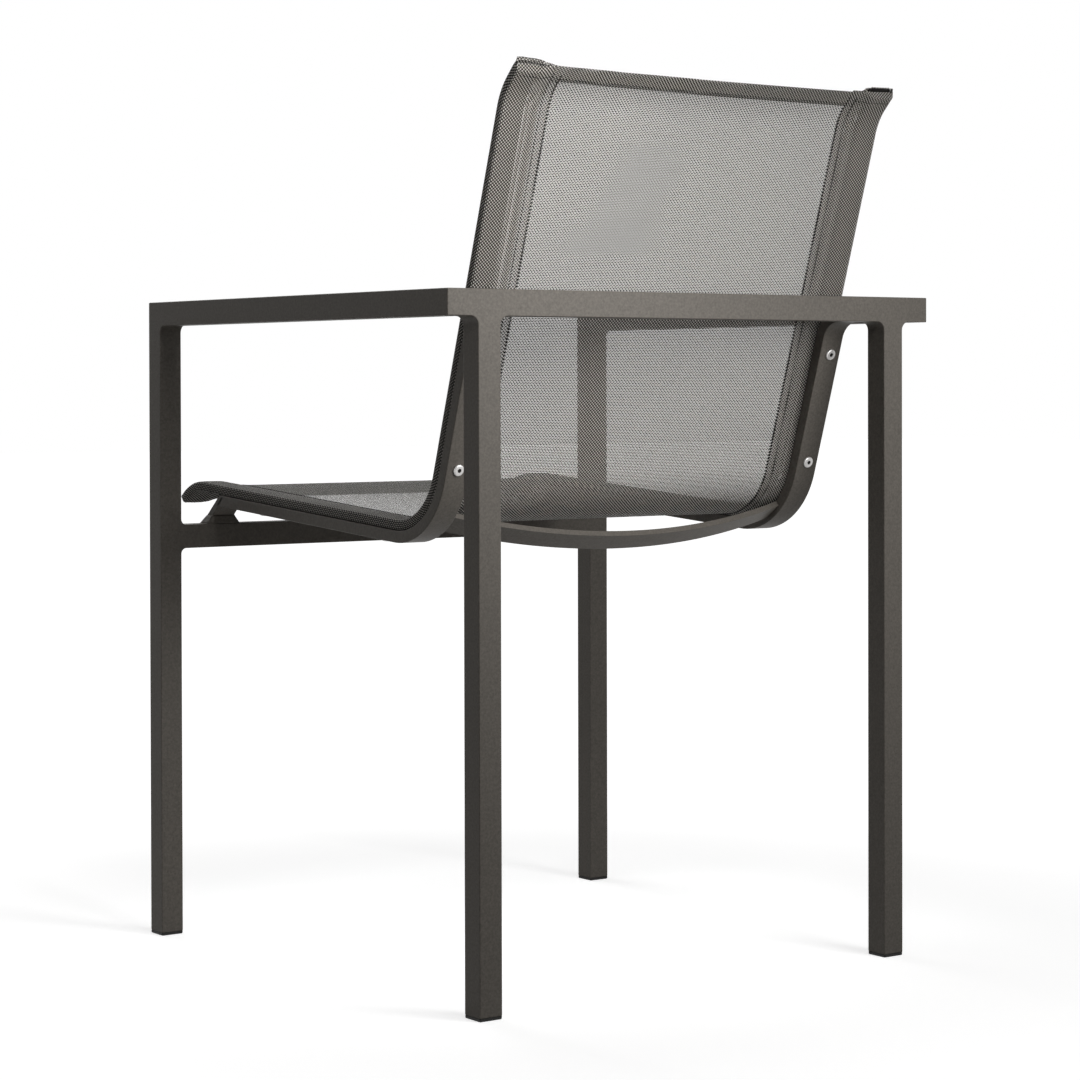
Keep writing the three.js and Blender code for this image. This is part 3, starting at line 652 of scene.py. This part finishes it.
def model_cross_bar():
    """A flat bar bowed away from the sitter, between the support bars' inner faces."""
    half, bow, thick, wide = bar_inner + weld_overlap, 29 * MM, 6 * MM, 25 * MM
    radius = (half * half + bow * bow) / (2 * bow)
    bisector = (seat_angle + back_angle) / 2
    out, along = across(bisector), heading(bisector)
    deepest = seat_bend.centre - out * seat_bend.radius
    arc_centre = deepest + out * (radius - bow)
    reach = math.asin(half / radius)
    deselect()
    bpy.ops.mesh.primitive_plane_add(size=1)
    piece = bpy.context.object
    piece.scale = (thick, wide, 1)
    radial, upward = Vector((math.sin(reach), *(out * -math.cos(reach)))), Vector((0, *along))
    piece.rotation_euler = turned(radial, upward, radial.cross(upward)).to_euler()
    piece.location = Vector((0, *arc_centre)) + radial * (radius + thick / 2)
    settle("cross_bar_dressed")
    bpy.ops.mesh.spin(steps=48, angle=-2 * reach, center=(0, *arc_centre), axis=(0, *along))
    close_up()
    soften_edges(piece, strut_edge)
    return piece


support_bar = model_support_bar()
front_strut = model_front_strut()
finish_piece(model_cross_bar(), powder_coat, "frame_paint", "cross_bar")
for piece, base in ((support_bar, "support_bar"), (front_strut, "front_strut")):
    twin = copy_of(piece, f"{base}_dressed_right", mirror_x)
    finish_piece(piece, powder_coat, "frame_paint", f"{base}_left")
    finish_piece(twin, powder_coat, "frame_paint", f"{base}_right")
strut_weld = model_strut_weld()
weld_twin = copy_of(strut_weld, "strut_weld_right", mirror_x)
for piece in (strut_weld, weld_twin):
    finish_piece(piece, powder_coat, "frame_paint")


# Button-head screws through the support bars

screw_head, screw_height, screw_rounding = 5.8 * MM, 2.4 * MM, 1.6 * MM
shank_radius, shank_length = 3 * MM, 7 * MM
socket_flats, socket_depth = 4 * MM, 2 * MM


def model_screw():
    """A button head with a hex socket, made at the origin with its shank up along z."""
    deselect()
    bpy.ops.mesh.primitive_cylinder_add(
        vertices=48, radius=screw_head, depth=screw_height, location=(0, 0, -screw_height / 2))
    piece = settle("button_screw")
    pick("EDGE", lambda edge: all(abs(v.co.z + screw_height) < 0.01 * MM for v in edge.verts))
    fillet(screw_rounding, 6)
    facing((0, 0, 1), (2, -0.01 * MM, 0.01 * MM))
    bpy.ops.mesh.inset(thickness=screw_head - shank_radius)
    extrude(z=shank_length)
    bpy.ops.object.mode_set(mode="OBJECT")
    deselect()
    bpy.ops.mesh.primitive_cylinder_add(
        vertices=6, radius=socket_flats / math.sqrt(3), depth=2 * socket_depth,
        location=(0, 0, -screw_height))
    socket = bpy.context.object
    cut = piece.modifiers.new("socket", "BOOLEAN")
    cut.operation, cut.object = "DIFFERENCE", socket
    deselect()
    piece.select_set(True)
    bpy.context.view_layer.objects.active = piece
    bpy.ops.object.modifier_apply(modifier=cut.name)
    bpy.data.objects.remove(socket)
    bpy.ops.object.shade_smooth_by_angle(angle=math.radians(30))
    return piece


def model_painted_socket_shade():
    """A dark hex piece at the bottom of a hex socket, sunk below the head's face: painted shade for the
    socket's hollow.
    """
    thick, middle, gap, rim, dip = 1.4 * MM, 1.25 * MM, 0.02 * MM, 0.7 * MM, 0.5 * MM
    deselect()
    bpy.ops.mesh.primitive_cylinder_add(
        vertices=6, radius=socket_flats / math.sqrt(3) - gap, depth=thick,
        location=(0, 0, -screw_height + middle))
    piece = settle("painted_socket_shade")
    facing((0, 0, -1))
    bpy.ops.mesh.inset(thickness=rim)
    extrude(z=dip)
    bpy.ops.object.mode_set(mode="OBJECT")
    return piece


# The back screws' places, as shares of the straight part of the solid bar, whose top bend is tighter
back_screws = {"upper_back": 0.825, "lower_back": 0.081}


def screw_place(name):
    """Where a screw's axis meets the bar's upper face, and the bar's heading there."""
    if name in back_screws:
        return seat_bend.end.lerp(solid_top_bend.start, back_screws[name]), back_angle
    low, high = (Vector(corner[1:]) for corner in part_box(f"{name}_screw_left"))
    along = (low.lerp(high, 0.5) - seat_bend.start).dot(heading(seat_angle))
    return seat_bend.start + heading(seat_angle) * along, seat_angle


def add_screws():
    screw, floor = model_screw(), model_painted_socket_shade()
    for name in (*back_screws, "rear_seat", "front_seat"):
        at, angle = screw_place(name)
        base = at - across(angle) * bar_thick
        turn = turned((1, 0, 0), (0, *-heading(angle)), (0, *across(angle)))
        for sign, side in both:
            # Each socket stands at an angle of its own, as tightened screws do.
            spun = Matrix.Rotation(0.3 + sign * 0.4 + len(name), 4, "Z")
            place = Matrix.Translation((sign * bar_x, *base)) @ turn.to_4x4() @ spun
            finish_piece(copy_of(screw, f"{name}_button_{side}", place), stainless, "stainless_steel",
                         f"{name}_screw_{side}")
            # The dark hex piece sunk in each socket is painted shade for the socket's hollow.
            finish_piece(copy_of(floor, f"{name}_socket_{side}", place), socket_shade,
                         "stainless_steel")
    bpy.data.objects.remove(screw)
    bpy.data.objects.remove(floor)


add_screws()

# Sling: one cloth with its two sleeves, folded hems and stitching

cloth_thick = 0.4 * MM
hem_depth, hem_stitch, under_hem_stitch = 17.8 * MM, 14.8 * MM, 12.4 * MM
hem_gap = 0.75 * MM
turn_up_start = 25 * MM
membrane_height = 5.7 * MM

# Places across the chair: the seam of the flaps, the stitches beside the rail, and the sleeve's own limits
flap_seam, sleeve_seam = 178.6 * MM, 187.6 * MM
sleeve_start, sleeve_end = 192 * MM, 230.2 * MM
stations = sling_stations()
full_run = stations[-1][0]

# One side of the cloth's section, in millimetres: from beside the seam over the rail, and back under it.
over_rail = (
    (174, 5.7), (178, 5.7), (181, 5.72), (184, 5.76), (187, 5.86), (189, 6.15), (192, 6.95),
    (196, 8.2), (200, 9.45), (203.5, 10.35), (206, 10.7), (210, 10.85), (219, 10.9), (225, 10.85),
    (228.6, 10.7), (230.4, 10.35), (231.4, 9.6), (231.75, 8.4), (231.8, 5.7),
)
under_rail = (
    (231.75, 3.0), (231.4, 1.8), (230.4, 1.05), (228.6, 0.7), (225, 0.6), (219, 0.6), (210, 0.62),
    (206, 0.75), (203.5, 1.1), (200, 1.95), (196, 3.1), (192, 4.25), (189, 4.95), (187, 5.08),
    (184, 5.1), (181, 5.1), (177.6, 5.1),
)


class Column:
    """One line of the cloth along the sling: place in the section, length across, and way inwards."""

    def __init__(self, x, height, under):
        self.x, self.height, self.under = x, height, under
        self.length, self.inward = 0.0, Vector((0, -1))


def clamped(share):
    return max(0.0, min(1.0, share))


def seam_shift(x):
    """The seams sit a little to the sitter's right. The shift fades out towards the rails."""
    shift, fade_end, fade = 1.6 * MM, 204 * MM, 16 * MM
    return -shift * clamped((fade_end - abs(x)) / fade)


def section_columns():
    """The cloth's lines, from the right flap's edge over both rails to the left flap's edge."""
    membrane_half, steps = 174 * MM, 12
    half = [(membrane_half * i / steps, membrane_height, False) for i in range(steps)]
    half += [(x * MM, height * MM, False) for x, height in over_rail]
    half += [(x * MM, height * MM, True) for x, height in under_rail]
    columns = [Column(-x, height, under) for x, height, under in reversed(half[1:])]
    columns += [Column(x, height, under) for x, height, under in half]
    for before, column in zip(columns, columns[1:]):
        step = Vector((column.x - before.x, column.height - before.height))
        column.length = before.length + step.length
        column.inward = Vector((step.y, -step.x)).normalized()
    columns[0].inward = columns[1].inward
    return columns


# How far the layer under the rail stays below the one over it at the sleeves' open mouths,
# and where across the chair this drop begins and over what width it grows
mouth_drop, drop_start, drop_growth = 4.8 * MM, 188 * MM, 14 * MM

# The top edge: how much higher its left end is than its middle, how far it sags, and over what half width
top_skew, top_sag, sag_half_width = 2.3 * MM, 1.4 * MM, 185 * MM

# How far the closed top edge stands out past the tip, in millimetres; the two sleeves end unequally
mouths = {
    1: ((188, 5.0), (196, 6.1), (204, 7.1), (212, 8.0), (232, 8.2)),
    -1: ((188, 5.0), (198, 8.5), (212, 9.5), (232, 9.8)),
}


def mouth_rise(x):
    """How far the top edge stands out past the tip at a place across the chair, in metres."""
    table = mouths[1 if x > 0 else -1]
    across_x = abs(x) / MM
    for (x0, rise0), (x1, rise1) in zip(table, table[1:]):
        if across_x <= x1:
            return (rise0 + (rise1 - rise0) * max(0.0, across_x - x0) / (x1 - x0)) * MM
    return table[-1][1] * MM


def reach_beyond(column):
    """How far a column's cloth goes on past the tip of the side line, up to the sling's top edge."""
    skew = top_skew * column.x / bar_outer
    sag = top_sag * max(0.0, 1 - (column.x / sag_half_width) ** 2)
    rise = mouth_rise(column.x)
    top = 2 * rise * math.sin(tip_angle) + (skew - sag) * math.sin(tip_angle)
    if column.under or column.height < rise - 0.3 * MM:
        drop = mouth_drop * clamped((abs(column.x) - drop_start) / drop_growth)
        plane = 2 * column.height * math.sin(tip_angle)
        return column.height + max(0.0, top - drop - plane)
    return rise + skew - sag


def station_at(run):
    """The side line's point and heading at a run, also past either end."""
    if run >= full_run:
        return tip_end + heading(tip_angle) * (run - full_run), tip_angle
    if run <= 0:
        return nose_end + heading(nose_angle) * run, nose_angle
    for (run0, at0, angle0), (run1, at1, angle1) in zip(stations, stations[1:]):
        if run <= run1:
            share = (run - run0) / (run1 - run0)
            return at0.lerp(at1, share), angle0 + (angle1 - angle0) * share
    return tip_end, tip_angle


def ruffle(run, end, length):
    """Small waves of a sleeve's open mouth, gone 15 mm inside it."""
    reach, height = 15 * MM, 0.45 * MM
    near = max(0.0, 1 - abs(end - run) / reach)
    waves = math.sin(length * 640 + end * 9) + 0.6 * math.sin(length * 1130 + 2)
    return near * near * height * waves


def cloth_point(column, run, inset=0.0):
    """Where the cloth lies. Past the rail's end the layer under it is turned up to close the sleeve."""
    x = column.x + column.inward.x * inset
    height = column.height + column.inward.y * inset
    at, angle = station_at(run)
    end = 0.0 if run < full_run / 2 else full_run + reach_beyond(column)
    in_sleeve = abs(column.x) > sleeve_start
    past = run - full_run
    if past > 0 and height > mouth_rise(column.x):
        rise = mouth_rise(column.x)
        height -= (height - rise) * min(1.0, past / rise)
    if in_sleeve:
        height += ruffle(run, end, column.length) * (0.4 if column.under else 1.0)
    spot = at + across(angle) * height
    if in_sleeve and run > full_run - 30 * MM:
        excess = spot.x - tip_end.x + (inset if column.under else 0.0)
        if excess > 0:
            # Cloth that would pass the tip is turned straight up, at its full length.
            lift = excess / math.cos(tip_angle) - excess * math.tan(tip_angle)
            spot = Vector((spot.x - excess, spot.y + lift))
    return Vector((x + seam_shift(column.x), spot.x, spot.y))


def cloth_rows():
    """Rows along the cloth: run up to the last stretch, share of that stretch, and how far folded in."""
    last_rows, hem_rows = 30, 8
    rows = [(run, 0.0, 0.0) for run, _, _ in stations if run < full_run - turn_up_start]
    rows += [(full_run - turn_up_start, i / last_rows, 0.0) for i in range(last_rows + 1)]
    turns = [(0.0, 0.35), (0.25 * MM, 1.0)]
    turns += [(hem_depth * i / hem_rows, 1.0) for i in range(1, hem_rows + 1)]
    front = [(("front", depth), 0.0, inset) for depth, inset in reversed(turns)]
    back = [(("back", depth), 0.0, inset) for depth, inset in turns]
    return front + rows + back


def loose_piece(name, vertices, faces):
    """A new piece from points and faces."""
    mesh = bpy.data.meshes.new(name)
    mesh.from_pydata(vertices, [], faces)
    piece = bpy.data.objects.new(name, mesh)
    bpy.context.scene.collection.objects.link(piece)
    return piece


def model_sling():
    """The cloth, its width and its length, both laid flat."""
    columns, rows = section_columns(), cloth_rows()
    vertices, places = [], []
    for run, stretch, inset in rows:
        for column in columns:
            end = full_run + reach_beyond(column)
            if isinstance(run, tuple):
                side, depth = run
                along = depth if side == "front" else end - depth
                flat_run = -depth if side == "front" else end + depth
                vertices.append(cloth_point(column, along, inset * hem_gap))
            else:
                flat_run = run + stretch * (end - run)
                vertices.append(cloth_point(column, flat_run))
            places.append((column.length, flat_run))
    count = len(columns)
    faces = []
    for r in range(len(rows) - 1):
        for c in range(count - 1):
            a = r * count + c
            faces.append((a, a + count, a + count + 1, a + 1))
    piece = loose_piece("sling_cloth", vertices, faces)
    layer = piece.data.uv_layers.new(name="cloth")
    for loop in piece.data.loops:
        layer.data[loop.index].uv = places[loop.vertex_index]
    piece.data.polygons.foreach_set("use_smooth", [True] * len(faces))
    thick = piece.modifiers.new("thickness", "SOLIDIFY")
    thick.thickness, thick.offset = cloth_thick, 0.0
    return piece, columns[-1].length, full_run + 2 * hem_depth


# Stitches

def stitched_line(name, path, half_width=0.42 * MM):
    """A row of short stitches along a path of points with the way out of the cloth."""
    rng = random.Random(len(path))
    pitch, reach, sides = 3.4 * MM, 2.5 * MM, 6
    vertices, faces = [], []
    lengths = [0.0]
    for (a, _), (b, _) in zip(path, path[1:]):
        lengths.append(lengths[-1] + (b - a).length)
    index, run = 0, 0.5 * MM
    while run + reach < lengths[-1]:
        ring = []
        for share in (0.0, 0.25, 0.75, 1.0):
            goal = run + reach * share
            while lengths[index + 1] < goal:
                index += 1
            part = (goal - lengths[index]) / (lengths[index + 1] - lengths[index])
            spot = path[index][0].lerp(path[index + 1][0], part)
            out = path[index][1]
            forward = (path[index + 1][0] - path[index][0]).normalized()
            side = forward.cross(out).normalized()
            # A stitch is thick in its middle, and thin where it goes into the cloth.
            swell, lift = (0.35, -0.25 * MM) if share in (0.0, 1.0) else (1.0, 0.12 * MM)
            base = len(vertices)
            for k in range(sides):
                turn = math.tau * k / sides
                vertices.append(spot + out * (lift + math.sin(turn) * half_width * 0.6 * swell)
                                + side * math.cos(turn) * half_width * swell)
            ring.append(base)
        for a, b in zip(ring, ring[1:]):
            faces += [(a + k, a + (k + 1) % sides, b + (k + 1) % sides, b + k) for k in range(sides)]
        faces.append(tuple(ring[0] + k for k in reversed(range(sides))))
        faces.append(tuple(ring[-1] + k for k in range(sides)))
        run += pitch * rng.uniform(0.96, 1.04)
        while index and lengths[index] > run:
            index -= 1
    piece = loose_piece(name, vertices, faces)
    piece.data.polygons.foreach_set("use_smooth", [True] * len(faces))
    return finish_piece(piece, thread_and_painted_shade, "sling_mesh")


def seam_path(x, under, columns):
    """Along the cloth beside a rail, on its upper or its under side."""
    near = min((c for c in columns if c.under == under), key=lambda c: abs(c.x - x))
    column = Column(x, near.height, under)
    column.length, column.inward = near.length, near.inward
    path, last = [], None
    margin, step = 1.5 * MM, 3 * MM
    end = full_run + reach_beyond(column) - margin
    run = margin
    while run < end:
        spot = cloth_point(column, run)
        if last is not None:
            forward = (spot - last).normalized()
            out = forward.cross(Vector((1, 0, 0))) * (1 if under else -1)
            path.append((last + out * cloth_thick * 0.5, out))
        last = spot
        run += step
    return path


def path_across(picked, depth, top, way, lift):
    """Across some columns at a depth from the top or front edge. The way is -1 on the under side."""
    path, last = [], None
    for column in picked:
        run = full_run + reach_beyond(column) - depth if top else depth
        spot = cloth_point(column, run)
        ahead = cloth_point(column, run + 2 * MM)
        if last is not None:
            forward = (spot - last).normalized()
            out = forward.cross((ahead - spot).normalized()) * way
            path.append((last + out * lift, out))
        last = spot
    return path


def hem_path(columns, depth, top, below):
    """Across the whole cloth, on its upper side or on the hem folded under it."""
    picked = [c for c in columns if not c.under and abs(c.x) < sleeve_end]
    way, lift = (-1, cloth_thick * 0.5 + hem_gap) if below else (1, cloth_thick * 0.5)
    return path_across(picked, depth, top, way, lift)


def under_hem_path(columns, side, depth):
    """Across the layer under one rail, at a depth from the top edge."""
    picked = sorted((c for c in columns if c.under and flap_seam < c.x * side < sleeve_end),
                    key=lambda c: c.x)
    return path_across(picked, depth, True, -1, cloth_thick * 0.5)


# Painted shade inside a sleeve's mouth, a dark strip where the mouth's inside lies in shadow: how far inside
# it begins and ends, its limits across, and its own sizes
mouth_shade_depths = {"left": (-0.6 * MM, 3.2 * MM), "right": (0.7 * MM, 5.2 * MM)}
mouth_shade_start, mouth_shade_end = 196.5 * MM, 230.6 * MM
mouth_shade_inset, mouth_shade_thick = hem_gap + 0.9 * MM, 0.3 * MM


def model_mouth_painted_shade(columns, sign, side):
    """A dark strip just inside a sleeve's mouth at the top: painted shade where the inside of the mouth lies
    in shadow.
    """
    picked = sorted((c for c in columns if not c.under and mouth_shade_start < c.x * sign < mouth_shade_end),
                    key=lambda c: c.x)
    vertices = [
        cloth_point(column, full_run + reach_beyond(column) - depth, mouth_shade_inset)
        for column in picked for depth in mouth_shade_depths[side]
    ]
    faces = [(i, i + 1, i + 3, i + 2) for i in range(0, len(vertices) - 2, 2)]
    piece = loose_piece(f"mouth_painted_shade_{side}", vertices, faces)
    thick = piece.modifiers.new("thickness", "SOLIDIFY")
    thick.thickness, thick.offset = mouth_shade_thick, 0.0
    return finish_piece(piece, thread_and_painted_shade, "sling_mesh")


sling, cloth_width, cloth_length = model_sling()
finish_piece(sling, mesh_cloth, "sling_mesh", "sling")
cloth_columns = section_columns()
for sign, side in both:
    for place, label, half_width in ((flap_seam, "flap", 0.8 * MM), (sleeve_seam, "sleeve", 0.5 * MM)):
        for under, face in ((True, "under"), (False, "upper")):
            path = seam_path(sign * place, under, cloth_columns)
            stitched_line(f"{label}_stitches_{face}_{side}", path, half_width)
    path = under_hem_path(cloth_columns, sign, under_hem_stitch)
    stitched_line(f"top_hem_stitches_under_{side}", path)
    model_mouth_painted_shade(cloth_columns, sign, side)
for top, end in ((True, "top"), (False, "front")):
    for below, face in ((True, "under"), (False, "upper")):
        path = hem_path(cloth_columns, hem_stitch, top, below)
        stitched_line(f"{end}_hem_stitches_{face}", path)

# Floor and light

def add_light(name, place, target, size, watts, spread=180):
    """A square softbox that looks at its target; the spread is in degrees."""
    data = bpy.data.lights.new(name, "AREA")
    data.shape, data.size, data.energy = "SQUARE", size, watts
    data.spread = math.radians(spread)
    lamp = bpy.data.objects.new(name, data)
    bpy.context.scene.collection.objects.link(lamp)
    lamp.location = place
    lamp.rotation_euler = (Vector(target) - Vector(place)).to_track_quat("-Z", "Y").to_euler()
    lamp.visible_camera = False


def seen_by(tree, *rays):
    """1 for the given kinds of ray, and 0 for the rest."""
    path = tree.nodes.new("ShaderNodeLightPath")
    seen = path.outputs[f"Is {rays[0]} Ray"]
    for ray in rays[1:]:
        seen = math_node(tree, "MAXIMUM", seen, path.outputs[f"Is {ray} Ray"])
    return seen


def add_floor():
    """A pale floor. It is white to the camera far from the chair, and keeps the shadow near it."""
    near_radius, far_radius, near_glow = 0.45, 1.1, 0.68
    deselect()
    bpy.ops.mesh.primitive_plane_add(size=40, location=(0, 0, 0))
    floor = bpy.context.object
    floor.name = "studio_floor"
    material = bpy.data.materials.new("pale_floor")
    material.use_nodes = True
    tree = material.node_tree
    tree.nodes.remove(tree.nodes["Principled BSDF"])
    matt = node(tree, "ShaderNodeBsdfDiffuse", {"Color": (0.8, 0.8, 0.8, 1)})
    place = tree.nodes.new("ShaderNodeTexCoord")
    away = node(tree, "ShaderNodeVectorMath", {0: place.outputs["Object"]}, operation="LENGTH")
    far = node(tree, "ShaderNodeMapRange", {
        "Value": away.outputs["Value"], "From Min": near_radius, "From Max": far_radius,
        "To Min": near_glow, "To Max": 1.0,
    }, interpolation_type="SMOOTHSTEP")
    lit = node(tree, "ShaderNodeEmission", {"Color": (1, 1, 1, 1)})
    seen = seen_by(tree, "Camera", "Glossy", "Transmission")
    tree.links.new(math_node(tree, "MULTIPLY", seen, far.outputs[0]), lit.inputs["Strength"])
    both_shaders = tree.nodes.new("ShaderNodeAddShader")
    tree.links.new(matt.outputs[0], both_shaders.inputs[0])
    tree.links.new(lit.outputs[0], both_shaders.inputs[1])
    tree.links.new(both_shaders.outputs[0], tree.nodes["Material Output"].inputs["Surface"])
    floor.data.materials.append(material)


# How bright the white world is as a light, for rays that don't see it as the background
world_level = 0.11


def set_world():
    """A world that is white in the background, and dim as a light."""
    world = bpy.data.worlds.new("studio")
    bpy.context.scene.world = world
    world.use_nodes = True
    tree = world.node_tree
    sky = tree.nodes["Background"]
    sky.inputs["Color"].default_value = (1, 1, 1, 1)
    seen = seen_by(tree, "Camera", "Glossy", "Transmission")
    strength = math_node(tree, "MULTIPLY_ADD", seen, 1 - world_level, world_level)
    tree.links.new(strength, sky.inputs["Strength"])


add_floor()
set_world()
add_light("back_softbox", (-0.35, 1.15, 0.8), (0.0, 0.29, 0.6), 0.5, 3.2, 100)
add_light("rail_softbox", (0.24, 0.72, 1.0), (0.2, 0.29, 0.72), 0.3, 0.85, 80)
add_light("front_softbox", (0.0, -1.2, 1.1), (0.0, 0.1, 0.6), 0.8, 1.9, 90)
add_light("side_softbox", (2.2, -0.4, 0.9), (0.0, 0.0, 0.5), 1.0, 1.45)
add_light("seat_softbox", (0.1, -0.15, 1.5), (0.0, -0.05, 0.47), 0.35, 0.3, 45)

# Finishes of the pieces that come over from the solids
for name, cad_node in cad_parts.items():
    if cad_node.hide_render:
        continue
    finish = plain_aluminium
    if "cap" in name or "plug" in name:
        finish = black_plastic
    elif "sling_rail" in name:
        finish = powder_coat
    cad_node.data.materials.clear()
    cad_node.data.materials.append(finish)

bpy.context.scene.view_settings.view_transform = "Standard"
